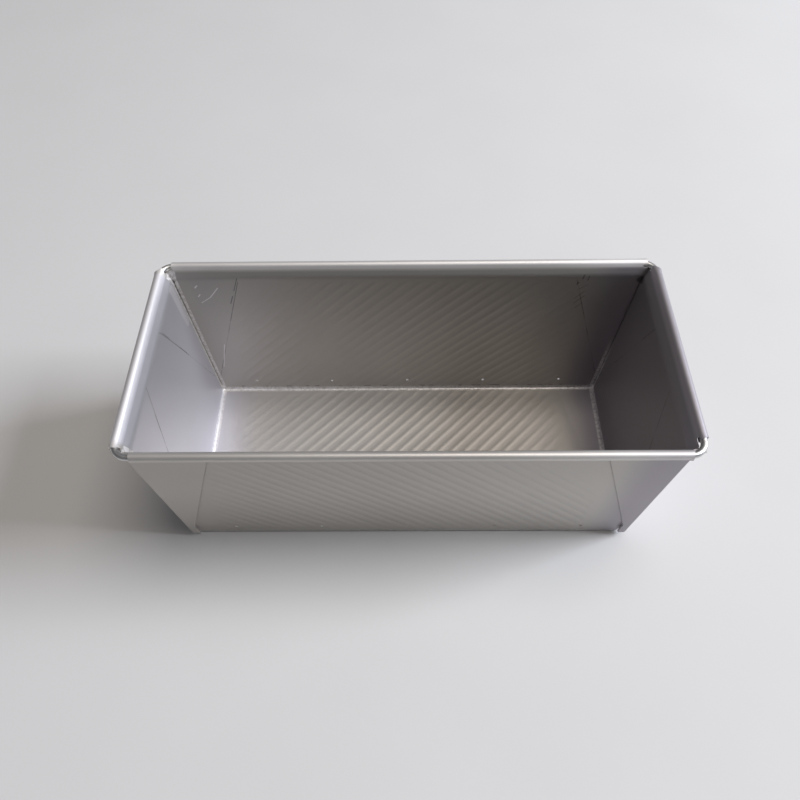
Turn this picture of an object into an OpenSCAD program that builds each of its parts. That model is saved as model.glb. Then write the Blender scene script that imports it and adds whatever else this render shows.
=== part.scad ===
// Pullman loaf pan: one folded sheet of aluminised steel, hemmed over a loop of rim wire.
// Origin on the table under the middle of the pan, +X along its length, +Z up.

/* [Pan] */
// Inside length of the floor, between the end walls
floor_length = 218.5; // [150:0.5:330]
// Inside width of the floor, between the long walls
floor_width = 89.8; // [60:0.2:140]
// Height of the rim wire's centre above the table
wire_height = 95.3; // [60:0.1:130]
// Lean of the end walls from upright, in degrees
end_flare = 3; // [1:0.1:8]
// Lean of the long walls from upright, in degrees
side_flare = 1.9; // [1:0.1:8]
// Thickness of the sheet
sheet_t = 0.6; // [0.4:0.05:0.9]
// Inside radius of the bends round the floor
floor_bend_r = 1.6; // [0.6:0.1:3]

/* [Corner pleats] */
// Inside radius of the pleat's outer layer where it goes round the corner
pleat_bend_r = 0.6; // [0.4:0.1:1.2]
// Height of the pleats' lower end above the table
pleat_lift = 0.3; // [0.2:0.1:1]

/* [Rim] */
// Diameter of the rim wire
wire_d = 2.9; // [2:0.1:4]
// Radius of the wire's centre line where it turns a corner
wire_corner_r = 6.5; // [5:0.5:14]
// Play between the wire and the hem curled over it
wire_play = 0.1; // [0.05:0.05:0.3]
// Lean of the shoulder between wall and hem, in degrees from upright
shoulder_lean = 45; // [30:1:60]
// Radius under the bend from wall to shoulder
shoulder_r = 4; // [0.5:0.1:6]
// Angle through which the hem curls round the wire
hem_wrap = 285; // [240:5:300]
// Gap between the long walls' pleats and the hem
side_hem_gap = 0.4; // [0.2:0.05:2]
// Gap between the end walls' pleats and the hem
end_hem_gap = 0.95; // [0.2:0.05:2]
// Straight wire left bare between the long walls' hems and the wire's turns
side_hem_bare = 0.1; // [0.1:0.1:8]
// Straight wire left bare between the end walls' hems and the wire's turns
end_hem_bare = 0.1; // [0.1:0.1:8]
// Slant of the cut at the ends of the long walls' hems, in degrees
side_hem_slant = 6; // [0:1:25]
// Slant of the cut at the ends of the end walls' hems, in degrees
end_hem_slant = 18; // [0:1:25]

/* [Fluting] */
// Distance between neighbouring flutes, square across them
flute_pitch = 5.2; // [4:0.1:10]
// Direction of the flutes on the flat sheet, from the pan's length, in degrees
flute_angle = 45; // [35:1:55]
// Width of a flute where it leaves the flat sheet
flute_width = 2.8; // [1.5:0.1:3.5]
// Height of a flute
flute_height = 0.25; // [0.2:0.05:0.5]
// Plain strip between the fluted band and the floor's -X end
plain_left = 14; // [4:0.5:40]
// Plain strip between the fluted band and the floor's +X end
plain_right = 21; // [4:0.5:40]
// Plain strip between the fluting and the bends
flute_margin = 2; // [1.5:0.1:8]

/* [Vent holes] */
// Number of holes in each long wall
hole_count = 5; // [1:2:7]
// Distance between neighbouring holes
hole_pitch = 44; // [20:1:48]
// Diameter of a hole
hole_d = 1.5; // [1:0.1:3]
// Height of the holes above the table
hole_height = 8.1; // [5:0.1:20]

/* [Hidden] */
$fn = 48;

// Segments in a quarter turn of a bend
QUARTER = 6;
// Overlap that joins two stretches of one sheet
LAP = 1;
// Depth by which one stretch of sheet starts below the face of the next
SKIN = 0.03;

half_length = floor_length / 2;
half_width = floor_width / 2;
// Edges of the fluted band
band_left = plain_left - half_length;
band_right = half_length - plain_right;

curl_r = wire_d / 2 + wire_play;
hem_r = curl_r + sheet_t;
pleat_t = 3 * sheet_t;
side_reach = pleat_t + side_hem_gap + hem_r;
end_reach = pleat_t + end_hem_gap + hem_r;

// Half the wire loop's centre lines, to a hundredth
wire_half_length = hundredth(half_length + lean_out(end_flare, wire_height) + end_reach);
wire_half_width = hundredth(half_width + lean_out(side_flare, wire_height) + side_reach);

side_top = wall_top(side_flare, side_reach);
end_top = wall_top(end_flare, end_reach);
// The pleats end just under the lower of the two wall tops
pleat_top = min(side_top, end_top) - 0.3;
// From here up the walls stop short of each other, as folded edges
slit_foot = sheet_t + 0.6 * floor_bend_r;
slit_turn = asin((slit_foot - sheet_t - floor_bend_r) / (floor_bend_r + sheet_t - SKIN));
plug_top = sheet_t + 0.8 * floor_bend_r;
// Up to here the walls run on to each other at the corners, and only what is above is cut back
mitre_top = wire_height - hem_r - sheet_t / 4;

// The corner edge runs up from where the faces inside the pan meet at the floor
corner_rise = [tan(end_flare), tan(side_flare), 1];
corner_edge = corner_rise / norm(corner_rise);
side_normal = [0, cos(side_flare), -sin(side_flare)];
across_corner = cross(side_normal, corner_edge);
// How far short of square the two walls' normals are
corner_skew = asin(sin(end_flare) * sin(side_flare));
// Four equal sectors of the blank's corner are folded away into two pleats
pleat_angle = (90 - atan(tan(end_flare) * cos(side_flare)) - atan(tan(side_flare) * cos(end_flare))) / 4;

// A flute's crown is an arc struck through its width and height, and its hollow is one sheet further in
crown_r = (pow(flute_width / 2, 2) + pow(flute_height, 2)) / (2 * flute_height);
hollow_r = crown_r - sheet_t;
// Step from flute to flute along the pan, and how far a flute runs along it for each step across
flute_step = flute_pitch / sin(flute_angle);
flute_drift = 1 / tan(flute_angle);

function hundredth(value) = round(value * 100) / 100;

// How far a wall has leaned out at a height above the table
function lean_out(flare, height) = (height - sheet_t) * tan(flare);

function polar(r, angle) = [r * cos(angle), r * sin(angle)];

// Points of an arc, about QUARTER to each quarter turn
function arc(centre, r, from, to) =
    let (steps = max(2, ceil(abs(to - from) / 90 * QUARTER)))
    [for (i = [0:steps]) centre + polar(r, from + (to - from) * i / steps)];

// A wall's section is drawn with x outward from the foot of its inner face, and y up from the table
function wire_centre(flare, reach) = [lean_out(flare, wire_height) + reach, wire_height];

function bend_centre(flare) = [-floor_bend_r * (1 - sin(flare)) / cos(flare), sheet_t + floor_bend_r];

// Length of the flat wall, from the floor's level to the bend under the shoulder
function flat_length(flare, reach) =
    let (
        up_shoulder = [sin(shoulder_lean), cos(shoulder_lean)],
        on_shoulder = wire_centre(flare, reach) + polar(hem_r, 180 - shoulder_lean) - [0, sheet_t],
        to_meeting = cross(up_shoulder, on_shoulder) / sin(shoulder_lean - flare)
    )
    to_meeting - (shoulder_r + sheet_t) * tan((shoulder_lean - flare) / 2);

function wall_top(flare, reach) = sheet_t + flat_length(flare, reach) * cos(flare);

function shoulder_centre(flare, reach) =
    [0, sheet_t] + flat_length(flare, reach) * [sin(flare), cos(flare)]
    + (shoulder_r + sheet_t) * [cos(flare), -sin(flare)];

// One face of the sheet along the section: layer 0 is inside the pan, layer 1 is outside
function wall_face(flare, reach, flange, layer) =
    let (
        depth = layer * sheet_t,
        height = sheet_t - depth,
        hem_start = 180 - shoulder_lean
    )
    concat(
        [[-flange, height]],
        arc(bend_centre(flare), floor_bend_r + depth, -90, -flare),
        arc(shoulder_centre(flare, reach), shoulder_r + height, 180 - flare, hem_start),
        arc(wire_centre(flare, reach), curl_r + height, hem_start, hem_start - hem_wrap)
    );

function reversed(points) = [for (i = [len(points) - 1:-1:0]) points[i]];

module wall_section(flare, reach, flange) {
    polygon(concat(
        wall_face(flare, reach, flange, 0),
        reversed(wall_face(flare, reach, flange, 1))
    ));
}

// Draws a section that runs along X
module along_x(length) {
    translate([-length / 2, 0, 0])
        rotate([90, 0, 90])
        linear_extrude(length)
        children();
}

// What the ends of a wall keep below the hem: the floor and its bend as far as the outside of the
// bend at that end, then up to the folded edge, which follows the face of the other wall
module wall_outline(half_run, end_lean, end_reach) {
    depth = floor_length + floor_width;
    fold = half_run - sheet_t;
    right = concat(
        arc([half_run, 0] + bend_centre(end_lean), floor_bend_r + sheet_t - SKIN, -90, slit_turn),
        [[fold + lean_out(end_lean, slit_foot), slit_foot]],
        arc(
            [fold, 0] + shoulder_centre(end_lean, end_reach), shoulder_r + sheet_t,
            180 - end_lean, 180 - shoulder_lean
        )
    );
    translate([0, depth, 0])
        rotate([90, 0, 0])
        linear_extrude(2 * depth)
        intersection() {
            polygon(concat(right, [for (p = reversed(right)) [-p.x, p.y]]));
            translate([-depth, -LAP])
                square([2 * depth, mitre_top + LAP]);
        }
}

// What the slanted ends of a hem keep, seen from above, with x along the hem and y outward from the wire
module hem_outline(half_hem, slant, reach) {
    tilt = 2 * reach * tan(slant);
    linear_extrude(wire_height + 2 * hem_r)
        polygon([
            [half_hem + tilt, -2 * reach],
            [half_hem - tilt, 2 * reach],
            [tilt - half_hem, 2 * reach],
            [-half_hem - tilt, -2 * reach]
        ]);
}

// One wall on the +Y side, with its share of the floor, its bend, its shoulder and its hem
module wall(half_run, half_across, flange, flare, reach, end_lean, end_reach, half_hem, slant) {
    top = wall_top(flare, reach);
    top_face = half_across + lean_out(flare, top);
    wire_line = half_across + lean_out(flare, wire_height) + reach;
    span = 2 * (half_run + lean_out(end_lean, wire_height) + reach);
    // The hem's outline holds above the mitre, and outside the wall where the curl hangs lower
    module kept() {
        wall_outline(half_run, end_lean, end_reach);
        intersection() {
            translate([0, wire_line, 0])
                hem_outline(half_hem, slant, reach);
            union() {
                translate([-span / 2, top_face - LAP, mitre_top - LAP / 4])
                    cube([span, 4 * reach, wire_height]);
                translate([-span / 2, top_face + sheet_t + LAP / 2, top - hem_r])
                    cube([span, 4 * reach, wire_height]);
            }
        }
    }
    intersection() {
        translate([0, half_across, 0])
            along_x(span)
            wall_section(flare, reach, flange);
        kept();
    }
}

module side_wall() {
    wall(
        half_length, half_width, half_width + LAP, side_flare, side_reach, end_flare, end_reach,
        wire_half_length - wire_corner_r - side_hem_bare, side_hem_slant
    );
}

module end_wall() {
    wall(
        half_width, half_length, 6 * LAP, end_flare, end_reach, side_flare, side_reach,
        wire_half_width - wire_corner_r - end_hem_bare, end_hem_slant
    );
}

// Section of a folded corner, with x along the long wall and past the corner, and y outward:
// the walls end in hairpins, and the pleats' outer layer goes round them both
function half_corner(mirrored) =
    let (
        far = pleat_length * tan(pleat_angle) + pleat_t,
        hairpin_r = sheet_t - SKIN,
        pin = [-sheet_t, sheet_t],
        round_centre = 2 * sheet_t - pleat_bend_r,
        points = concat(
            arc([round_centre, round_centre], pleat_bend_r, 45, 90),
            arc(pin, hairpin_r, 90, -90),
            [[-2 * sheet_t, SKIN], [-2 * sheet_t, 2 * SKIN], [-far, 2 * SKIN], [-far, pleat_t]],
            reversed(arc([round_centre, round_centre], pleat_bend_r + sheet_t, 45, 90))
        )
    )
    mirrored ? [for (p = reversed(points)) [p.y, p.x]] : points;

pleat_length = wire_height / corner_edge.z;

// Keeps what lies on the corner's side of a crease that leaves the corner edge at the pleat angle
module pleat_outline() {
    reach = pleat_length + LAP;
    width = reach * tan(pleat_angle);
    translate([0, reach, 0])
        rotate([90, 0, 0])
        linear_extrude(2 * reach)
        polygon([[0, -2 * LAP], [reach, -2 * LAP], [reach, reach], [-width, reach], [0, 0]]);
}

// The rounded free edge of a pleat
module pleat_fold() {
    translate([0, 2 * sheet_t, 0])
        rotate([0, -pleat_angle, 0])
        cylinder(h = pleat_length / cos(pleat_angle), r = sheet_t - SKIN);
}

// Turns a shape made for the long wall's plane over to the end wall's plane
module on_end_plane() {
    rotate([0, 0, -corner_skew])
        mirror([1, -1, 0])
        children();
}

// The two pleats at the +X, +Y corner and the outer layer that joins them
module corner_pleats() {
    frame = [
        [across_corner.x, side_normal.x, corner_edge.x, half_length],
        [across_corner.y, side_normal.y, corner_edge.y, half_width],
        [across_corner.z, side_normal.z, corner_edge.z, sheet_t]
    ];
    size = [floor_length, floor_width, pleat_top - pleat_lift];
    intersection() {
        translate([0, 0, pleat_lift])
            cube(size);
        multmatrix(frame) {
            intersection() {
                translate([0, 0, -LAP])
                    linear_extrude(pleat_length + LAP) {
                        polygon(half_corner(false));
                        polygon(half_corner(true));
                    }
                pleat_outline();
                on_end_plane()
                    pleat_outline();
            }
            pleat_fold();
            on_end_plane()
                pleat_fold();
        }
    }
    // The pressed-round corner of the floor, under the foot of the pleats
    plug = pleat_t - sheet_t / 4;
    translate([half_length - sheet_t / 4, half_width - sheet_t / 4, pleat_lift])
        linear_extrude(plug_top - pleat_lift)
        polygon(concat([[0, 0]], arc([plug - 2 * sheet_t, plug - 2 * sheet_t], 2 * sheet_t, 0, 90)));
}

// Section of the ridge that a flute raises on a face at height 0
module crown() {
    spread = asin(flute_width / 2 / crown_r);
    polygon(concat(
        arc([0, flute_height - crown_r], crown_r, 90 + spread, 90 - spread),
        [[flute_width / 2, -sheet_t / 3], [-flute_width / 2, -sheet_t / 3]]
    ));
}

// Section of the groove under that ridge, open below the sheet
module hollow() {
    spread = acos((hollow_r - flute_height) / hollow_r);
    width = 2 * hollow_r * sin(spread);
    polygon(concat(
        arc([0, flute_height - crown_r], hollow_r, 90 + spread, 90 - spread),
        [[width / 2, -sheet_t - LAP], [-width / 2, -sheet_t - LAP]]
    ));
}

// Runs a section along every flute of a panel that lies between left and right, and low and high.
// The flutes are straight lines on the flat sheet, and pass the panel's own zero at a shift along it.
module flutes(left, right, low, high, shift) {
    first = ceil((left - shift - high * flute_drift) / flute_step + 0.3);
    last = floor((right - shift - low * flute_drift) / flute_step - 0.3);
    run = norm([right - left, high - low]);
    intersection() {
        translate([left, low, -2 * LAP])
            cube([right - left, high - low, 4 * LAP]);
        for (i = [first:last])
            translate([shift + i * flute_step, 0, 0])
                rotate([0, 0, flute_angle])
                rotate([90, 0, 90])
                translate([0, 0, -2 * run])
                linear_extrude(4 * run)
                children();
    }
}

module floor_flutes() {
    edge = half_width - floor_bend_r - flute_margin;
    translate([0, 0, sheet_t])
        flutes(band_left, band_right, -edge, edge, 0)
        children();
}

// On the +Y wall, with its own x along the pan, y up the wall and z into the pan
module on_side_wall() {
    translate([0, half_width, sheet_t])
        rotate([90 - side_flare, 0, 0])
        children();
}

module wall_flutes(left, right) {
    on_side_wall()
        flutes(
            left, right,
            floor_bend_r + flute_margin, flat_length(side_flare, side_reach) - flute_margin,
            half_width * flute_drift
        )
        children();
}

// The whole fluted band, over the floor and both long walls
module fluted_band() {
    floor_flutes()
        children();
    wall_flutes(band_left, band_right)
        children();
    rotate([0, 0, 180])
        wall_flutes(-band_right, -band_left)
        children();
}

module vent_holes() {
    rise = (hole_height - sheet_t) / cos(side_flare);
    for (turn = [0, 180], i = [0:hole_count - 1])
        rotate([0, 0, turn])
            on_side_wall()
            translate([(i - (hole_count - 1) / 2) * hole_pitch, rise, 0])
            cylinder(h = 6 * LAP, d = hole_d, center = true);
}

module pan_sheet() {
    color("#c6c8cd") {
        difference() {
            union() {
                for (turn = [0, 180])
                    rotate([0, 0, turn]) {
                        side_wall();
                        rotate([0, 0, -90])
                            end_wall();
                    }
                fluted_band()
                    crown();
            }
            fluted_band()
                hollow();
            vent_holes();
        }
        for (turn = [0, 180])
            rotate([0, 0, turn]) {
                corner_pleats();
                mirror([1, 0, 0])
                    corner_pleats();
            }
    }
}

// One loop of wire with a rounded turn at each corner
module rim_wire() {
    run = wire_half_length - wire_corner_r;
    cross_run = wire_half_width - wire_corner_r;
    color("#dcdcde")
        translate([0, 0, wire_height]) {
            for (side = [-1, 1]) {
                translate([-run, side * wire_half_width, 0])
                    rotate([0, 90, 0])
                    cylinder(h = 2 * run, d = wire_d);
                translate([side * wire_half_length, cross_run, 0])
                    rotate([90, 0, 0])
                    cylinder(h = 2 * cross_run, d = wire_d);
            }
            for (corner = [[1, 1, 0], [-1, 1, 90], [-1, -1, 180], [1, -1, 270]])
                translate([corner.x * run, corner.y * cross_run, 0])
                    rotate([0, 0, corner.z])
                    rotate_extrude(angle = 90)
                    translate([wire_corner_r, 0])
                    circle(d = wire_d);
        }
}

pan_sheet();
rim_wire();
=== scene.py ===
import math

import bmesh
import bpy
from mathutils import Matrix, Vector, noise


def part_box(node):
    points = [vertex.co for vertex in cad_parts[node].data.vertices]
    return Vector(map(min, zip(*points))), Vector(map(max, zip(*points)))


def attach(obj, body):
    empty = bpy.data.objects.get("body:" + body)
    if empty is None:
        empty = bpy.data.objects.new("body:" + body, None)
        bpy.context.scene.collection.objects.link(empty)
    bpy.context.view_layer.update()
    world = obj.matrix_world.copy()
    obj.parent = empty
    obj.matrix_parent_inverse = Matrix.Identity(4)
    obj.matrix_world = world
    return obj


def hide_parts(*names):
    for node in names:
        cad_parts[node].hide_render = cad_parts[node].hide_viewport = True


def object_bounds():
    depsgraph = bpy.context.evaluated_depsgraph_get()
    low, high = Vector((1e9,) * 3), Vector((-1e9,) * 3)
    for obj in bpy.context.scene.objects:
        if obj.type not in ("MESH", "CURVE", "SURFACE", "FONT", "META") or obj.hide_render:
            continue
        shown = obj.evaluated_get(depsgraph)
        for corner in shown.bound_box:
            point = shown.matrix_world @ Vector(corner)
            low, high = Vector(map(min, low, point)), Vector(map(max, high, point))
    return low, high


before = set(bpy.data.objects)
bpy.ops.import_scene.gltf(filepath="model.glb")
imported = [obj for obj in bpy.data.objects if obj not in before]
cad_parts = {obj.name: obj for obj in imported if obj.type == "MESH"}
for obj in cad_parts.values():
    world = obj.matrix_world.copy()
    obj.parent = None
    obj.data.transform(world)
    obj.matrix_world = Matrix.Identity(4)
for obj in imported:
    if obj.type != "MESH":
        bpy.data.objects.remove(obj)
cad_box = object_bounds()


# The folded sheet.
# One blank of aluminised steel is pressed with flutes, punched with vent holes, folded up at its four sides
# and pleated outward at its corners. Its rim is curled over the wire. Lengths are in millimetres until the end.
SHEET = 0.6
FLOOR_HALF = Vector((109.25, 44.9))
END_FLARE, SIDE_FLARE = math.radians(3), math.radians(1.9)
FLOOR_BEND, SHOULDER_BEND, CURL = 1.9, 6, 1.8
SHOULDER_LEAN, HEM_WRAP = math.radians(30), math.radians(300)
# Like the CAD's, the finished pan stands a hair above the table
STAND = 0.05
rim_low, rim_high = (1000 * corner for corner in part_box("rim_wire"))
WIRE_HEIGHT = (rim_low.z + rim_high.z) / 2
WIRE_R = (rim_high.z - rim_low.z) / 2
WIRE_HALF = Vector((rim_high.x - WIRE_R, rim_high.y - WIRE_R))
# A side's folds are half the floor, its bend, the wall, the shoulder's bend, the shoulder and the hem. These are
# their numbers, and the rows that each is cut into.
FLOOR_TURN, WALL, SHOULDER_TURN, HEM, HEM_EDGE = 1, 2, 3, 5, 6
FOLD_ROWS = (1, 6, 1, 6, 3, 30)


def wall_runs(flare, floor_half, wire_half):
    """Lengths and turns of the sheet's middle along a side's folds."""
    wall = Vector((math.sin(flare), math.cos(flare)))
    shoulder = Vector((math.sin(SHOULDER_LEAN), math.cos(SHOULDER_LEAN)))
    foot = Vector((floor_half, SHEET)) + SHEET / 2 * Vector((wall.y, -wall.x))
    curl_start = Vector((wire_half, WIRE_HEIGHT - STAND)) + CURL * Vector((-shoulder.y, shoulder.x))
    gap = curl_start - foot
    turn = SHOULDER_LEAN - flare
    wall_length = (shoulder.x * gap.y - shoulder.y * gap.x) / math.sin(turn)
    shoulder_length = (wall.y * gap.x - wall.x * gap.y) / math.sin(turn)
    set_back = (FLOOR_BEND - SHEET / 2) * (1 - math.sin(flare)) / math.cos(flare)
    tangent = SHOULDER_BEND * math.tan(turn / 2)
    bend = math.pi / 2 - flare
    return [
        (floor_half - set_back, 0),
        (FLOOR_BEND * bend, bend),
        (wall_length - set_back - tangent, 0),
        (SHOULDER_BEND * turn, -turn),
        (shoulder_length - tangent, 0),
        (CURL * HEM_WRAP, -HEM_WRAP),
    ]


def row_of(runs, fold):
    """Distance along the sheet at which a fold starts."""
    return sum(length for length, turn in runs[:fold])


def along(runs, distance):
    """How far out and up the sheet's middle is after a distance along its folds, and its heading."""
    out, up, heading = 0, SHEET / 2, 0
    for length, turn in runs:
        step = min(distance, length)
        if turn:
            bend = length / turn
            ahead = heading + step / bend
            out += bend * (math.sin(ahead) - math.sin(heading))
            up -= bend * (math.cos(ahead) - math.cos(heading))
            heading = ahead
        else:
            out += step * math.cos(heading)
            up += step * math.sin(heading)
        distance -= step
        if distance <= 0:
            break
    return out, up, heading


def folded_at(runs, height):
    """Distance along the sheet at which the wall reaches a height."""
    start = row_of(runs, WALL)
    out, up, heading = along(runs, start)
    return start + (height - up) / math.sin(heading)


def reach_at(runs, height):
    """How far out a wall's middle is at a height below its curl."""
    low, high = row_of(runs, WALL), row_of(runs, HEM)
    for halving in range(24):
        between = (low + high) / 2
        low, high = (between, high) if along(runs, between)[1] < height else (low, between)
    return along(runs, low)[0]


side_runs = wall_runs(SIDE_FLARE, FLOOR_HALF.y, WIRE_HALF.y)
end_runs = wall_runs(END_FLARE, FLOOR_HALF.x, WIRE_HALF.x)
floor_edge = Vector((row_of(end_runs, FLOOR_TURN), row_of(side_runs, FLOOR_TURN)))

# The corner edge rises from the meeting of the inner faces at the floor. Four equal sectors of the blank's corner
# fold away there, so each pleat's free edge leaves the corner edge at a quarter of the angle, from its apex on.
corner_foot = Vector((FLOOR_HALF.x, FLOOR_HALF.y, SHEET))
corner_rise = Vector((math.tan(END_FLARE), math.tan(SIDE_FLARE), 1)).normalized()
side_out = Vector((0, math.cos(SIDE_FLARE), -math.sin(SIDE_FLARE)))
end_out = Vector((math.cos(END_FLARE), 0, -math.sin(END_FLARE)))
past_side = side_out.cross(corner_rise)
past_end = corner_rise.cross(end_out)
PLEAT_SLOPE, PLEAT_APEX, PLEAT_LEAST = math.tan(math.radians(21.3)), 9, 1.2
HAIRPIN, FREE_FOLD, CORNER_BEND = 0.6, 0.33, 0.9
# How far before the corner edge the walls' hairpins start
PIN = -0.55
# A pleat's free fold closes in on the wall by this much, over this height above its foot
CLOSER, CLOSING = 0.54, 30
# The levels by which a pleat is drawn up from its foot to its top, and those by which it runs on to under the hem
PLEAT_FOOT = 3.7
PLEAT_TOP = min(along(runs, row_of(runs, SHOULDER_TURN))[1] for runs in (side_runs, end_runs)) - 0.3
levels = [PLEAT_FOOT + (PLEAT_TOP - PLEAT_FOOT) * (step / 6) ** 1.3 for step in range(7)]
tucked = [PLEAT_TOP + 0.7 * step for step in range(5)]
# There they lean out with the shoulders, and less so over this stretch inwards from the corner edge
TUCK_EASE = 3


def rise_to(point, height):
    """Slides a point along the corner edge to a height."""
    return point + corner_rise * ((height - point.z) / corner_rise.z)


def from_corner(point):
    """A point's offset from the corner edge at its own height."""
    return point - rise_to(corner_foot, point.z)


def pleat_width(height):
    return max(PLEAT_LEAST, (height - PLEAT_APEX) * PLEAT_SLOPE)


def drawn_to(part, tip, place):
    """Draws a line straight on from its tip, and gives back the new tip."""
    made = bmesh.ops.extrude_vert_indiv(part, verts=[tip])
    made["verts"][0].co = place
    return made["verts"][0]


def bent_round(part, tip, centre, axis, angle, steps):
    """Bends a line on from its tip, and gives back the new tip."""
    made = bmesh.ops.spin(part, geom=[tip], cent=centre, axis=axis, angle=angle, steps=steps)
    return next(v for v in made["geom_last"] if isinstance(v, bmesh.types.BMVert))


def drawn_out(part, row):
    """Draws faces out of a row of edges, and gives back the new row and its points."""
    made = bmesh.ops.extrude_edge_only(part, edges=row)["geom"]
    return tuple([new for new in made if isinstance(new, kind)] for kind in (bmesh.types.BMEdge, bmesh.types.BMVert))


def half_pleat(past, out, turn):
    """Folds the sheet from a wall's end round its hairpin, out to the free fold and back to the corner's middle."""
    pleat = bmesh.new()
    inner = SHEET / 2 + 2 * HAIRPIN
    outer = inner + 2 * FREE_FOLD
    middle = outer - CORNER_BEND
    foot_width = pleat_width(PLEAT_FOOT)

    def at(forward, outward):
        return corner_foot + forward * past + outward * out

    def bend(tip, forward, outward, angle, steps):
        return bent_round(pleat, tip, at(forward, outward), corner_rise, turn * angle, steps)

    def in_free_fold(point):
        return from_corner(point).dot(past) < (PIN - foot_width) / 2

    tip = bend(pleat.verts.new(at(PIN, SHEET / 2)), PIN, SHEET / 2 + HAIRPIN, math.pi, 8)
    tip = bend(drawn_to(pleat, tip, at(-foot_width, inner)), -foot_width, inner + FREE_FOLD, -math.pi, 8)
    bend(drawn_to(pleat, tip, at(middle, outer)), middle, middle, -math.pi / 4, 4)
    for v in pleat.verts:
        v.co = rise_to(v.co, PLEAT_FOOT)
    row = list(pleat.edges)
    # Higher up, the free fold is drawn further from the corner, and lies closer on the wall
    for low, high in zip(levels, levels[1:]):
        row, points = drawn_out(pleat, row)
        wider = pleat_width(high) - pleat_width(low)
        closer = CLOSER * (min(1, (high - PLEAT_FOOT) / CLOSING) - min(1, (low - PLEAT_FOOT) / CLOSING))
        for v in points:
            if in_free_fold(v.co):
                v.co -= wider * past + closer * out
            v.co = rise_to(v.co, high)
    # All but the hairpin runs on behind the shoulders, and leans out with them
    row = [edge for edge in row if all(
        from_corner(v.co).dot(out) > inner - 0.01 or from_corner(v.co).dot(past) < PIN - 1 for v in edge.verts
    )]
    for low, high in zip(tucked, tucked[1:]):
        row, points = drawn_out(pleat, row)
        wider = pleat_width(high) - pleat_width(low)
        corner_edge = rise_to(corner_foot, high)
        leans = [
            reach_at(runs, high) - reach_at(runs, low) - (high - low) * corner_rise[i] / corner_rise.z
            for i, runs in enumerate((end_runs, side_runs))
        ]
        for v in points:
            if in_free_fold(v.co):
                v.co -= wider * past
            v.co = rise_to(v.co, high)
            for i, lean in enumerate(leans):
                v.co[i] += lean * min(1, max(0, 1 + (v.co[i] - corner_edge[i]) / TUCK_EASE))
    return pleat


def add_to(sheet, part):
    """Joins one bmesh to another."""
    mesh = bpy.data.meshes.new("part")
    part.to_mesh(mesh)
    sheet.from_mesh(mesh)
    bpy.data.meshes.remove(mesh)
    part.free()


sheet = bmesh.new()
add_to(sheet, half_pleat(past_side, side_out, 1))
add_to(sheet, half_pleat(past_end, end_out, -1))
bmesh.ops.remove_doubles(sheet, verts=sheet.verts, dist=0.01)

# Where the walls' own strips end and their hairpins start
side_column = corner_foot + PIN * past_side + SHEET / 2 * side_out
end_column = corner_foot + PIN * past_end + SHEET / 2 * end_out
side_foot, end_foot = rise_to(side_column, PLEAT_FOOT), rise_to(end_column, PLEAT_FOOT)

# Under the pleats the corner is pressed round, and a ledge closes the pleats' foot
corner = bmesh.new()
bend_centre = Vector((*floor_edge, SHEET / 2 + FLOOR_BEND))
tip = corner.verts.new((*floor_edge, SHEET / 2))
tip = bent_round(corner, tip, bend_centre, (1, 0, 0), side_runs[FLOOR_TURN][1], 6)
drawn_to(corner, tip, (floor_edge.x, side_foot.y, PLEAT_FOOT))
bmesh.ops.spin(
    corner, geom=corner.verts[:] + corner.edges[:], cent=bend_centre, axis=(0, 0, 1), angle=-math.pi / 2, steps=6
)
# The round closes in towards the pleats' foot, to meet both hairpins
radius = side_foot.y - floor_edge.y
for v in corner.verts:
    if v.co.z > PLEAT_FOOT - 0.05:
        share = (v.co.xy - floor_edge) / radius
        v.co.x = side_foot.x + share.x * (end_foot.x - side_foot.x)
        v.co.y = end_foot.y + share.y * (side_foot.y - end_foot.y)
add_to(sheet, corner)
bmesh.ops.remove_doubles(sheet, verts=[v for v in sheet.verts if v.co.z < PLEAT_FOOT + 0.1], dist=0.05)
ledge = [e for e in sheet.edges if e.is_boundary and all(abs(v.co.z - PLEAT_FOOT) < 0.05 for v in e.verts)]
bmesh.ops.edgeloop_fill(sheet, edges=ledge)
for axis in "XY":
    bmesh.ops.mirror(
        sheet, geom=sheet.verts[:] + sheet.edges[:] + sheet.faces[:], matrix=Matrix(), merge_dist=0, axis=axis
    )


def parts_of(faces):
    """The faces with their edges and corners, each once."""
    return list(dict.fromkeys(part for face in faces for part in (face, *face.edges, *face.verts)))


def score(strip, faces, point, normal):
    """Cuts flat faces along a plane, and gives back those on both sides of it."""
    made = bmesh.ops.bisect_plane(strip, geom=parts_of(faces), dist=1e-4, plane_co=point, plane_no=normal)
    return [part for part in made["geom"] if isinstance(part, bmesh.types.BMFace)]


def folded_strip(runs, half_run, start):
    """A flat strip of the blank, with x along the pan's side and y along the folds, scored at every fold."""
    strip = bmesh.new()
    bmesh.ops.create_grid(strip, x_segments=1, y_segments=1, size=1)
    for v in strip.verts:
        v.co.x *= half_run
        v.co.y = row_of(runs, HEM_EDGE) if v.co.y > 0 else start
    rows = [
        row_of(runs, fold) + runs[fold][0] * (step + 1) / steps
        for fold, steps in enumerate(FOLD_ROWS) for step in range(steps)
    ]
    for row in rows[:-1] + [folded_at(runs, level) for level in levels]:
        for side in (-1, 1) if start < 0 else (1,):
            score(strip, strip.faces, (0, side * row, 0), (0, 1, 0))
    return strip


# Above the walls, a strip is cut across every so often, and finely over its last stretch up to the corner. There
# its shoulders are drawn out. The long sides' run on behind the ends', which stop just short of them: SHORT says
# by how much, for the sides and for the ends.
CROSS_CUT, DRAWN_OUT, SHORT = 8, 8, (-0.8, 0.42)
# The hems and shoulders aren't quite straight, but waver by this much, over these lengths along and across
WAVER, WAVER_RUN, WAVER_ROW = 0.05, 16, 9


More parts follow.
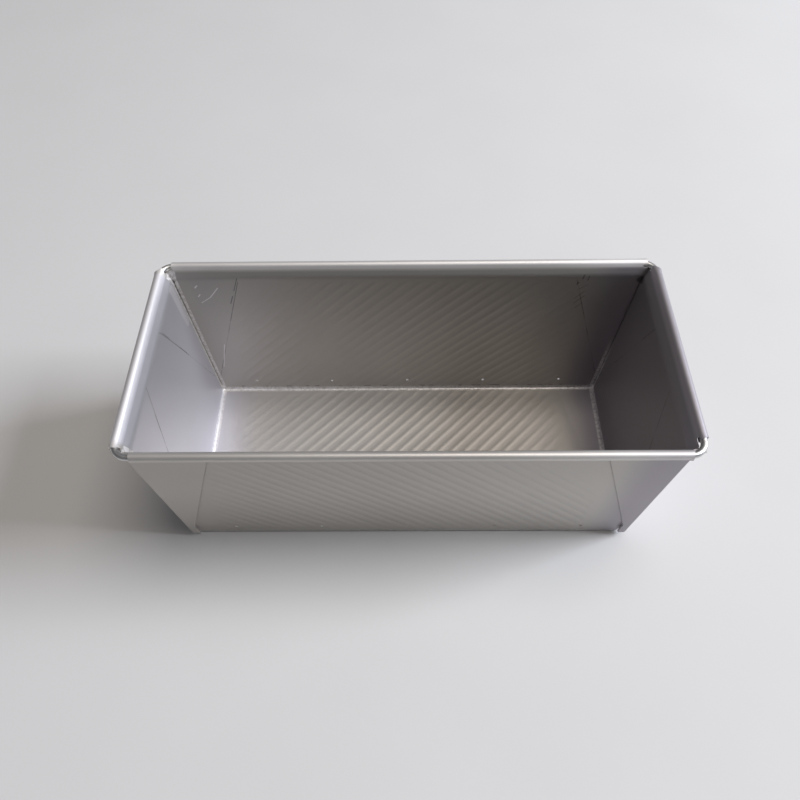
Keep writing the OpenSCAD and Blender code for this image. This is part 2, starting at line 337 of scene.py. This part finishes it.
def finish_strip(strip, runs, other_runs, column, axis, half_run, seed):
    """Draws the strip's ends out to the corners, lets its hems waver, and folds it up."""
    hem = strip.faces.layers.int.new("hem")
    wall, shoulder, curl = (row_of(runs, fold) for fold in (WALL, SHOULDER_TURN, HEM))
    beyond = [f for f in strip.faces if abs(f.calc_center_median().y) > shoulder]
    for f in beyond:
        if abs(f.calc_center_median().y) > curl:
            f[hem] = axis + 1
    straight = half_run - DRAWN_OUT
    cuts = round(straight / CROSS_CUT)
    columns = [step * CROSS_CUT for step in range(-cuts, cuts + 1)]
    columns += [side * (straight + step) for side in (-1, 1) for step in range(DRAWN_OUT)]
    for cut in columns:
        beyond = score(strip, beyond, (cut, 0, 0), (1, 0, 0))
    top = along(runs, shoulder)[1]
    gap = reach_at(other_runs, top) - rise_to(column, top)[axis]
    for v in strip.verts:
        distance = abs(v.co.y)
        out, up, heading = along(runs, distance)
        past = abs(v.co.x) - straight
        if distance > shoulder - 0.01 and past > 0:
            met = min(distance, curl)
            short = SHORT[axis] + (gap - SHORT[axis]) * ((curl - met) / (curl - shoulder)) ** 4
            end = reach_at(other_runs, along(runs, met)[1]) - short
            v.co.x = math.copysign(straight + past / DRAWN_OUT * (end - straight), v.co.x)
        elif distance > wall + 0.1 and past > DRAWN_OUT - 0.01:
            v.co.x = math.copysign(rise_to(column, up)[axis], v.co.x)
        height = v.co.z
        if distance > shoulder + 1:
            height += WAVER * noise.noise(Vector((v.co.x / WAVER_RUN, v.co.y / WAVER_ROW, seed)))
        v.co.y = math.copysign(out - height * math.sin(heading), v.co.y)
        v.co.z = up + height * math.cos(heading)


# The floor and the long walls are one strip, with the vent holes low in the walls. HOLE_LAND is half the square of
# sheet that each hole is cut in.
long_strip = folded_strip(side_runs, floor_edge.x, -row_of(side_runs, HEM_EDGE))
HOLE_R, HOLE_PITCH, HOLE_HEIGHT, HOLE_LAND = 0.75, 44, 8.1, 1.6


def face_around(strip, place):
    """The flat face that a place lies in."""
    for face in strip.faces:
        spots = [v.co for v in face.verts]
        if all(min(s[i] for s in spots) < place[i] < max(s[i] for s in spots) for i in (0, 1)):
            return face


for side in (-1, 1):
    for number in range(-2, 3):
        centre = Vector((number * HOLE_PITCH, side * folded_at(side_runs, HOLE_HEIGHT), 0))
        for way in ((1, 0, 0), (-1, 0, 0), (0, 1, 0), (0, -1, 0)):
            score(long_strip, [face_around(long_strip, centre)], centre + HOLE_LAND * Vector(way), way)
        face = face_around(long_strip, centre)
        bmesh.ops.bisect_edges(long_strip, edges=face.edges[:], cuts=3)
        face = face_around(long_strip, centre)
        bmesh.ops.inset_individual(long_strip, faces=[face], thickness=0.4)
        for v in face.verts:
            v.co = centre + HOLE_R * (v.co - centre).normalized()
        bmesh.ops.delete(long_strip, geom=[face], context="FACES_ONLY")

# The flutes are straight lines across the flat blank, in a band that ends short of the pan's ends
FLUTE_STEP, FLUTE_HALF, FLUTE_HEIGHT = 5.2 * math.sqrt(2), 1.9, 0.2
FLUTE_CUTS = (-1.9, -1.4, -0.95, -0.5, 0, 0.5, 0.95, 1.4, 1.9)
BAND_LEFT, BAND_RIGHT = -95.25, 88.25
BAND_TOP = folded_at(side_runs, 89)
FADE = 3.0
band = [f for f in long_strip.faces if abs(f.calc_center_median().y) < row_of(side_runs, SHOULDER_TURN)]
for inset in (0, FADE / 2, FADE):
    for place, normal in (
        ((BAND_LEFT + inset, 0, 0), (-1, 0, 0)),
        ((BAND_RIGHT - inset, 0, 0), (1, 0, 0)),
        ((0, BAND_TOP - inset, 0), (0, 1, 0)),
        ((0, inset - BAND_TOP, 0), (0, -1, 0)),
    ):
        edge, outward = Vector(place), Vector(normal)
        made = score(long_strip, band, edge, outward)
        band = made if inset else [f for f in made if (f.calc_center_median() - edge).dot(outward) < 0]
# On the floor, the flutes are cut into short lengths, so that they can fade
for number in range(-5, 6):
    band = score(long_strip, band, (0, 7.5 * number, 0), (0, 1, 0))
first = math.ceil((BAND_LEFT - BAND_TOP) / FLUTE_STEP)
last = math.floor((BAND_RIGHT + BAND_TOP) / FLUTE_STEP)
for number in range(first, last + 1):
    for offset in FLUTE_CUTS:
        cut = number * FLUTE_STEP + offset * math.sqrt(2)
        spots = [(f, f.calc_center_median()) for f in score(long_strip, band, (cut, 0, 0), (1, -1, 0))]
        band = [f for f, spot in spots if spot.x - spot.y > cut]

# Beside the pleats, which lie behind the long walls, the flutes fade over a stretch. The pleats' free edges close
# in by this much for each millimetre up the wall.
PLEAT_CLOSE, BESIDE_PLEAT = 0.338, 16
# On the floor they are lower, most of all near its ends: the share at the end, what is added inwards, and over
# what length
FLOOR_LEFT, FLOOR_RIGHT = (0.25, 0.24, 50), (0.4, 0.6, 34)
# In the floor's bends they lose this share
IN_BEND = 0.6
bend_middle = row_of(side_runs, FLOOR_TURN) + side_runs[FLOOR_TURN][0] / 2


def eased(value):
    """From 0 to 1, starting and ending softly."""
    value = min(1, max(0, value))
    return value * value * (3 - 2 * value)


def pressed(x, y):
    """How high the flutes stand at a place on the flat blank, as a share of their full height."""
    rise = abs(y) - bend_middle
    share = 1 - IN_BEND * eased(1.6 - abs(rise) / 2)
    if rise > 0:
        return share * eased((FLOOR_HALF.x - PLEAT_CLOSE * rise - abs(x)) / BESIDE_PLEAT)
    for inwards, (least, added, length) in ((x - BAND_LEFT, FLOOR_LEFT), (BAND_RIGHT - x, FLOOR_RIGHT)):
        share *= least + added * eased(inwards / length)
    return share


for v in long_strip.verts:
    x, y, z = v.co
    margin = min(x - BAND_LEFT, BAND_RIGHT - x, BAND_TOP - abs(y))
    across = (x - y) / FLUTE_STEP
    across = abs(across - round(across)) * FLUTE_STEP / math.sqrt(2)
    if margin > 0 and across < FLUTE_HALF:
        crown = FLUTE_HEIGHT * (1 + math.cos(math.pi * across / FLUTE_HALF)) / 2
        v.co.z = crown * eased(margin / FADE) * pressed(x, y)
finish_strip(long_strip, side_runs, end_runs, side_column, 0, floor_edge.x, 0)
add_to(sheet, long_strip)

# Each end wall is a strip of its own, welded to the floor's end
for end in (-1, 1):
    end_strip = folded_strip(end_runs, floor_edge.y, row_of(end_runs, FLOOR_TURN))
    finish_strip(end_strip, end_runs, side_runs, end_column, 1, floor_edge.y, 10 * end)
    for v in end_strip.verts:
        v.co = Vector((end * v.co.y, v.co.x, v.co.z))
    add_to(sheet, end_strip)
pleat_feet = [
    v for v in sheet.verts
    if v.co.z < PLEAT_FOOT + 0.1 and abs(v.co.x) > floor_edge.x - 0.5 and abs(v.co.y) > floor_edge.y - 0.5
]
bmesh.ops.remove_doubles(sheet, verts=pleat_feet, dist=0.045)
bmesh.ops.remove_doubles(sheet, verts=sheet.verts, dist=0.004)
bmesh.ops.recalc_face_normals(sheet, faces=sheet.faces)
floor_face = max(sheet.faces, key=lambda f: f.calc_area() if f.calc_center_median().z < 1 else 0)
if floor_face.normal.z < 0:
    bmesh.ops.reverse_faces(sheet, faces=sheet.faces)
bmesh.ops.translate(sheet, verts=sheet.verts, vec=(0, 0, STAND))

# Each hem is cut off slanting, short of the corners. For each end, it is given how far from the wire's square
# corner the cut passes over the wire, and its slant in degrees.
LONG_HEM_ENDS = {(-1, -1): (7.5, 8), (1, -1): (5.6, 12), (-1, 1): (5.4, 4), (1, 1): (4.0, 3)}
END_HEM_ENDS = {(-1, -1): (3.7, 17), (1, -1): (6.9, 23), (-1, 1): (3.9, 36), (1, 1): (4.4, 27)}
# The faces that a cut can reach are this near, to either side of the wire and along it
CUT_ACROSS, CUT_ALONG = 6, 20
hem = sheet.faces.layers.int["hem"]
for ends, axis in ((LONG_HEM_ENDS, 0), (END_HEM_ENDS, 1)):
    for signs, (short, slant) in ends.items():
        square_corner = Vector((signs[0] * WIRE_HALF.x, signs[1] * WIRE_HALF.y, 0))
        lengthways, outward = Vector(), Vector()
        lengthways[axis], outward[1 - axis] = signs[axis], signs[1 - axis]
        near = []
        for face in sheet.faces:
            offset = face.calc_center_median() - square_corner
            if face[hem] == axis + 1 and abs(offset.dot(outward)) < CUT_ACROSS and -CUT_ALONG < offset.dot(lengthways):
                near.append(face)
        bmesh.ops.bisect_plane(
            sheet, geom=parts_of(near), dist=1e-4, plane_co=square_corner - short * lengthways,
            plane_no=lengthways + math.tan(math.radians(slant)) * outward, clear_outer=True,
        )

WIRE_TURN = 6.5


def wire_middle(place):
    """The nearest point on the middle of the rim wire."""
    x, y = abs(place.x), abs(place.y)
    turn = WIRE_HALF - Vector((WIRE_TURN, WIRE_TURN))
    if x > turn.x and y > turn.y:
        spot = turn + WIRE_TURN * (Vector((x, y)) - turn).normalized()
    elif WIRE_HALF.x - x < WIRE_HALF.y - y:
        spot = Vector((WIRE_HALF.x, y))
    else:
        spot = Vector((x, WIRE_HALF.y))
    return Vector((math.copysign(spot.x, place.x), math.copysign(spot.y, place.y), WIRE_HEIGHT))


# Near the corners the shoulders are crumpled, and pressed over the wire's turn with the hems, clear of it by a hair
CRUMPLE, CRUMPLED, CRUMPLE_RUN = 0.35, 9, 1.8
clear = WIRE_R + SHEET / 2 + 0.04
for v in sheet.verts:
    inwards = Vector((WIRE_HALF.x - abs(v.co.x), WIRE_HALF.y - abs(v.co.y)))
    if v.co.z > PLEAT_TOP and max(inwards) < CRUMPLED:
        crumple = CRUMPLE * eased((CRUMPLED - max(inwards)) / 4) * eased((v.co.z - PLEAT_TOP) / 2)
        v.co.z += crumple * noise.noise(v.co / CRUMPLE_RUN)
        v.co.xy += crumple * Vector([noise.noise(v.co / CRUMPLE_RUN + shift) for shift in (side_out, end_out)])
    if v.co.z > WIRE_HEIGHT - 2.5:
        middle = wire_middle(v.co)
        if (v.co - middle).length < clear:
            v.co = middle + clear * (v.co - middle).normalized()
# Nothing stands out past the CAD's pan
cad_low, cad_high = (1000 * Vector(corner) for corner in cad_box)
skin = SHEET / 2 + 0.02
for v in sheet.verts:
    for i in range(3):
        v.co[i] = max(cad_low[i] + skin, min(cad_high[i] - skin, v.co[i]))

bmesh.ops.scale(sheet, vec=(0.001,) * 3, verts=sheet.verts)


def thickened(name, sheet, thickness):
    """A closed piece from the middle of a sheet."""
    mesh = bpy.data.meshes.new(name)
    sheet.to_mesh(mesh)
    sheet.free()
    middle = bpy.data.objects.new(name + "_middle", mesh)
    bpy.context.scene.collection.objects.link(middle)
    grown = middle.modifiers.new("thickness", "SOLIDIFY")
    grown.thickness, grown.offset, grown.use_even_offset, grown.use_quality_normals = thickness, 0, True, True
    whole = bpy.data.meshes.new_from_object(middle.evaluated_get(bpy.context.evaluated_depsgraph_get()))
    bpy.data.objects.remove(middle)
    bpy.data.meshes.remove(mesh)
    whole.name = name
    piece = bpy.data.objects.new(name, whole)
    bpy.context.scene.collection.objects.link(piece)
    return piece


pan = thickened("folded_sheet", sheet, SHEET / 1000)
pan.data.shade_smooth()
pan.data.set_sharp_from_angle(angle=math.radians(38))


class Finish:
    """A material and its nodes."""

    def __init__(self, name):
        self.material = bpy.data.materials.new(name)
        self.material.use_nodes = True
        self.surface = self.material.node_tree.nodes["Principled BSDF"]
        self.place = self.node("ShaderNodeTexCoord", output="Object")

    def node(self, kind, settings=None, inputs=None, output=0):
        """Adds a node with its settings and inputs, and gives back one of its outputs."""
        made = self.material.node_tree.nodes.new(kind)
        for key, value in (settings or {}).items():
            setattr(made, key, value)
        for key, value in (inputs or {}).items():
            self.feed(made.inputs[key], value)
        return Reading(self, made.outputs[output])

    def feed(self, socket, value):
        if isinstance(value, Reading):
            self.material.node_tree.links.new(value.socket, socket)
        else:
            socket.default_value = value

    def give(self, inputs):
        """Feeds or sets the surface's own sockets."""
        for key, value in inputs.items():
            self.feed(self.surface.inputs[key], value)

    def mix(self, share, first, second):
        return self.node("ShaderNodeMix", {"data_type": "RGBA"}, {0: share, 6: first, 7: second}, 2)

    def vector(self, operation, inputs, output="Vector"):
        return self.node("ShaderNodeVectorMath", {"operation": operation}, inputs, output)

    def noise(self, scale, detail=2.0, roughness=0.5, place=None):
        inputs = {"Vector": place or self.place, "Scale": scale, "Detail": detail, "Roughness": roughness}
        return self.node("ShaderNodeTexNoise", None, inputs)

    def bump(self, height, strength):
        return self.node("ShaderNodeBump", None, {"Height": height, "Strength": strength, "Distance": 0.0001})


class Reading:
    """A number that varies over a surface. Sums on it add Math nodes."""

    def __init__(self, finish, socket):
        self.finish, self.socket = finish, socket

    def math(self, operation, *values):
        return self.finish.node("ShaderNodeMath", {"operation": operation}, dict(enumerate(values)))

    def __add__(self, other):
        return self.math("ADD", self, other)

    def __sub__(self, other):
        return self.math("SUBTRACT", self, other)

    def __rsub__(self, other):
        return self.math("SUBTRACT", other, self)

    def __mul__(self, other):
        return self.math("MULTIPLY", self, other)

    def __abs__(self):
        return self.math("ABSOLUTE", self)

    __radd__, __rmul__ = __add__, __mul__

    def lowest(self, other):
        return self.math("MINIMUM", self, other)

    def highest(self, other):
        return self.math("MAXIMUM", self, other)

    def within(self, full, none):
        """1 up to full, easing to 0 at none, or 1 from full on where full is the larger."""
        settings = {"interpolation_type": "SMOOTHSTEP"}
        inputs = {"Value": self, "From Min": full, "From Max": none, "To Min": 1.0, "To Max": 0.0}
        return self.finish.node("ShaderNodeMapRange", settings, inputs)


satin = Finish("satin_aluminised_steel")
millimetres = satin.vector("SCALE", {0: satin.place, "Scale": 1000.0})
x, y, z = (satin.node("ShaderNodeSeparateXYZ", None, {0: millimetres}, axis) for axis in "XYZ")
cloud = satin.noise(38.0, 3.0)
mottle = satin.noise(420.0, 4.0, 0.6)
speck = satin.noise(1900.0)
stretched = satin.node("ShaderNodeMapping", None, {"Vector": satin.place, "Scale": (60.0, 1600.0, 1600.0)})
grain = satin.noise(1.0, 3.0, 0.6, stretched)

# How far a place is in from the inner faces of the end walls and of the long walls
rise = z - SHEET
to_end = FLOOR_HALF.x + rise * math.tan(END_FLARE) - abs(x)
to_side = FLOOR_HALF.y + rise * math.tan(SIDE_FLARE) - abs(y)
to_wall = to_end.lowest(to_side)
on_inside = to_wall.within(-0.2, -0.4)

# The pleats' free edges are pressed through the walls as thin grooves, with painted shade along them as thin dark
# lines, broken here and there
to_free_edge = (z - PLEAT_APEX) * PLEAT_SLOPE
broken = satin.noise(95.0).within(0.42, 0.56)
edge_groove_shade = abs(to_side - to_free_edge).within(0.12, 0.42) * abs(to_end).within(0.15, 0.25)
edge_groove_shade = edge_groove_shade.highest(abs(to_end - to_free_edge).within(0.1, 0.36) * abs(to_side).within(0.15, 0.25))
edge_groove_shade = edge_groove_shade * (0.25 + 0.75 * broken) * z.within(88.0, 90.0) * z.within(16.0, 12.0)

# Sharp bends are lighter in patches, partly burnish and partly painted highlight: the floor's edges and the hairpins
# at the corners, at the +X end only near the floor, where the painted highlight is left off the shaded rest
patchy = satin.noise(620.0, 3.0, 0.65).within(0.44, 0.62)
in_bend = to_wall.within(1.6, 2.5) * z.within(2.0, 3.0)
lit_hairpin = to_end.highest(to_side).within(1.7, 2.2) * to_wall.within(-1.5, -1.9)
lit_hairpin = lit_hairpin * x.within(0.0, 10.0).highest(z.within(24.0, 48.0))
burnish_and_highlight = (in_bend * 0.9).highest(lit_hairpin) * (0.35 + 0.65 * patchy)

# Painted shade darkens the sheet towards the rim, most just under it
under_rim_shade = 0.6 * z.within(92.0, 40.0) + 0.5 * z.within(92.0, 89.5)
under_rim_shade = under_rim_shade * z.within(94.0, 94.8) * (0.7 + 0.3 * cloud)

# Scratches and dark rubbed marks on the inside, each from one point to another, with its breadth
SCRATCHES = (
    ((-93.5, 47.7, 84.9), (-98.6, 47.5, 78.4), 0.34),
    ((-98.6, 47.5, 78.4), (-103.8, 47.3, 74.6), 0.28),
    ((-103.4, 47.7, 86.6), (-104.6, 47.7, 85.2), 0.5),
    ((-103.3, 47.5, 80.5), (-104.4, 47.5, 79.0), 0.4),
    ((-99.8, 46.2, 41.5), (-104.4, 45.6, 22.0), 0.3),
)
RUBBED = (
    ((-82.7, 47.9, 91.2), (-85.8, 47.6, 83.0), 0.3),
    ((-87.3, 47.5, 79.0), (-89.3, 47.3, 73.8), 0.36),
    ((-114.2, 14.5, 92.6), (-114.0, 14.7, 91.2), 0.8),
    ((-114.0, 15.3, 90.5), (-112.3, 27.5, 59.0), 0.26),
    ((-114.1, -14.6, 92.6), (-114.0, -14.9, 91.4), 0.6),
    ((-114.0, -15.2, 90.5), (-112.4, -26.5, 61.0), 0.22),
    ((86.0, 48.0, 92.5), (85.3, 47.8, 89.6), 0.5),
    ((88.3, 47.9, 91.0), (87.9, 47.8, 88.6), 0.4),
    ((83.7, 47.7, 87.0), (83.4, 47.7, 86.0), 0.6),
    ((84.0, 47.3, 76.0), (87.8, 47.5, 80.8), 0.22),
    ((84.3, 47.2, 72.5), (88.6, 47.5, 77.8), 0.22),
    ((85.5, 47.1, 69.0), (88.4, 47.3, 72.8), 0.2),
    ((85.0, 47.6, 82.6), (88.9, 47.6, 85.7), 0.2),
)


def stroke(start, end, breadth):
    """1 on a straight mark between two points, easing to 0 beside it."""
    start, length = Vector(start), Vector(end) - Vector(start)
    offset = satin.vector("SUBTRACT", {0: millimetres, 1: start})
    share = satin.vector("DOT_PRODUCT", {0: offset, 1: length / length.length_squared}, "Value")
    nearest = satin.vector("SCALE", {0: length, "Scale": share.highest(0.0).lowest(1.0)})
    return satin.vector("DISTANCE", {0: offset, 1: nearest}, "Value").within(breadth / 2, breadth)


def marked(strokes):
    """1 on each of some straight marks on the inside."""
    share = 0.0
    for start, end, breadth in strokes:
        share = stroke(start, end, breadth).highest(share)
    return share * on_inside


scratched, rubbed = marked(SCRATCHES), marked(RUBBED)
# A painted sheen lies beside the hairpin at the -X, +Y corner
sheen = stroke((-113.9, 42.4, 92.0), (-112.8, 42.7, 66.0), 3.4) * on_inside
# Short dark marks of painted shade lie along the foot of the rear wall, where the flutes run into the bend
bend_foot_shade = satin.noise(260.0, 1.0).within(0.42, 0.47) * abs(z - 3.0).within(0.35, 0.7)
bend_foot_shade = bend_foot_shade * abs(to_side).within(0.2, 0.4) * y.within(44.0, 43.0) * abs(x).within(100.0, 104.0)
# The crumpled hollow under the hems at the +X, +Y corner is painted dark as shade
hollow_shade = stroke((113.9, 47.9, 89.0), (117.5, 51.4, 95.2), 3.0)
# The -X end is painted lighter and bluish as the window's light on it, and the +X end darker as painted shade
window_lit_end = x.within(-112.0, -82.0) * to_side.within(3.0, 1.0)
shaded_end = x.within(106.0, 86.0)
# The hems are painted lighter on top as highlight: most the rear and -X ones and the +X half of the front one, and the
# rear one more towards +X
rear, front = y.within(51.0, 48.0), y.within(-51.0, -48.0)
highlit_hems = rear.highest(x.within(-118.0, -116.0)).highest(x.within(112.0, 10.0) * front)
hem_highlight = z.within(95.6, 94.6) * (0.12 + 0.5 * highlit_hems + 0.35 * x.within(110.0, 50.0) * rear)

# The bare metal, and over it each mark with its strength and colour
tone = satin.mix(cloud, (0.465, 0.44, 0.41, 1.0), (0.545, 0.517, 0.48, 1.0))
for mark, strength, colour in (
    (mottle, 0.35, (0.59, 0.565, 0.535, 1.0)),
    (speck, 0.3, (0.65, 0.625, 0.595, 1.0)),
    (window_lit_end, 0.85, (0.60, 0.592, 0.645, 1.0)),
    (shaded_end, 0.85, (0.35, 0.322, 0.365, 1.0)),
    (under_rim_shade, 0.4, (0.20, 0.195, 0.19, 1.0)),
    (edge_groove_shade, 0.6, (0.13, 0.125, 0.12, 1.0)),
    (rubbed, 0.65, (0.10, 0.095, 0.09, 1.0)),
    (bend_foot_shade, 0.6, (0.16, 0.14, 0.13, 1.0)),
    (hollow_shade, 0.75, (0.06, 0.058, 0.056, 1.0)),
):
    tone = satin.mix(mark * strength, tone, colour)
# Lighter: burnish and painted highlight at the bends, scratches, painted highlight on the hems and the painted sheen
lighter = (burnish_and_highlight * 0.8).highest(scratched * 0.8).highest(hem_highlight).highest(sheen * 0.4)
height = mottle * 0.6 + grain * 0.25 - edge_groove_shade * 2.0 + burnish_and_highlight * 0.6
satin.give({
    "Base Color": satin.mix(lighter, tone, (0.89, 0.865, 0.855, 1.0)),
    "Metallic": 0.68,
    "Roughness": 0.36 + 0.08 * cloud + 0.06 * mottle + 0.16 * hem_highlight + 0.25 * hollow_shade,
    "Normal": satin.bump(height, 0.25),
})
pan.data.materials.append(satin.material)
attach(pan, "root")
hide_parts("pan_sheet")


# The rim wire.
# One round steel wire is bent to a rounded rectangle and butt-welded. It lies in the four hems and shows bare
# where it turns the corners.
ring = bmesh.new()
run, cross_run = WIRE_HALF.x - WIRE_TURN, WIRE_HALF.y - WIRE_TURN
bmesh.ops.create_circle(ring, segments=24, radius=WIRE_R)
bmesh.ops.rotate(ring, verts=ring.verts, cent=(0, 0, 0), matrix=Matrix.Rotation(math.pi / 2, 3, "Y"))
bmesh.ops.translate(ring, verts=ring.verts, vec=(-run, -WIRE_HALF.y, WIRE_HEIGHT))
front_end = ring.edges[:]
for turn_x, turn_y, straight in (
    (run, -cross_run, (2 * run, 0, 0)),
    (run, cross_run, (0, 2 * cross_run, 0)),
    (-run, cross_run, (-2 * run, 0, 0)),
    (-run, -cross_run, (0, -2 * cross_run, 0)),
):
    front_end, points = drawn_out(ring, front_end)
    bmesh.ops.translate(ring, verts=points, vec=straight)
    made = bmesh.ops.spin(
        ring, geom=front_end, cent=(turn_x, turn_y, WIRE_HEIGHT), axis=(0, 0, 1), angle=math.pi / 2, steps=12
    )
    front_end = [part for part in made["geom_last"] if isinstance(part, bmesh.types.BMEdge)]
bmesh.ops.remove_doubles(ring, verts=ring.verts, dist=0.01)
bmesh.ops.recalc_face_normals(ring, faces=ring.faces)
bmesh.ops.scale(ring, vec=(0.001,) * 3, verts=ring.verts)


def placed(name, part):
    """An object in the scene from a finished bmesh."""
    mesh = bpy.data.meshes.new(name)
    part.to_mesh(mesh)
    part.free()
    piece = bpy.data.objects.new(name, mesh)
    bpy.context.scene.collection.objects.link(piece)
    return piece


wire = placed("bent_wire", ring)
wire.data.shade_smooth()
bright = Finish("drawn_steel_wire")
drawn = bright.noise(900.0, 3.0)
bright.give({
    "Base Color": bright.mix(bright.noise(60.0), (0.62, 0.61, 0.60, 1.0), (0.72, 0.715, 0.71, 1.0)),
    "Metallic": 1.0,
    "Roughness": 0.34 + 0.12 * drawn,
    "Normal": bright.bump(drawn, 0.15),
})
wire.data.materials.append(bright.material)
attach(wire, "root")
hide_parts("rim_wire")


# The place it is shown in.
# A plain pale floor under a soft light from the right, with the camera above the front long wall.
floor = bmesh.new()
bmesh.ops.create_grid(floor, x_segments=1, y_segments=1, size=3)
ground = placed("floor", floor)
pale = Finish("pale_floor")
pale.give({
    "Base Color": pale.mix(pale.noise(12.0), (0.66, 0.65, 0.64, 1.0), (0.70, 0.69, 0.68, 1.0)),
    "Roughness": 0.8,
})
ground.data.materials.append(pale.material)

world = bpy.data.worlds.new("studio")
bpy.context.scene.world = world
world.use_nodes = True
world.node_tree.nodes["Background"].inputs["Color"].default_value = (0.94, 0.96, 1.0, 1.0)
world.node_tree.nodes["Background"].inputs["Strength"].default_value = 0.115


def soft_box(name, place, side, power, tone):
    """A square soft light that looks at the pan."""
    lamp = bpy.data.lights.new(name, "AREA")
    lamp.shape, lamp.size, lamp.size_y, lamp.energy, lamp.color = "RECTANGLE", side, side, power, tone
    box = bpy.data.objects.new(name, lamp)
    box.location = place
    box.rotation_euler = (Vector((0, 0, 0.05)) - Vector(place)).to_track_quat("-Z", "Y").to_euler()
    bpy.context.scene.collection.objects.link(box)


soft_box("window", (2.45, 0.2, 1.8), 1.2, 102, (0.86, 0.91, 1.0))
soft_box("skylight", (0.55, 0.1, 2.35), 1.3, 22, (1.0, 0.93, 0.86))

pitch, yaw, roll = (math.radians(angle) for angle in (56.922, -1.188, -1.301))
forward = Vector((math.sin(yaw) * math.cos(pitch), math.cos(yaw) * math.cos(pitch), -math.sin(pitch)))
level_right = Vector((math.cos(yaw), -math.sin(yaw), 0))
level_up = level_right.cross(forward)
right = level_right * math.cos(roll) + level_up * math.sin(roll)
up = level_up * math.cos(roll) - level_right * math.sin(roll)
turned = Matrix((right, up, -forward)).transposed().to_4x4()
lens = bpy.data.cameras.new("camera")
lens.sensor_width, lens.lens, lens.clip_start = 36, 30.6, 0.01
camera = bpy.data.objects.new("camera", lens)
camera.matrix_world = Matrix.Translation((0.000087, -0.18154, 0.334906)) @ turned
bpy.context.scene.collection.objects.link(camera)
bpy.context.scene.camera = camera
bpy.context.scene.view_settings.view_transform = "Standard"
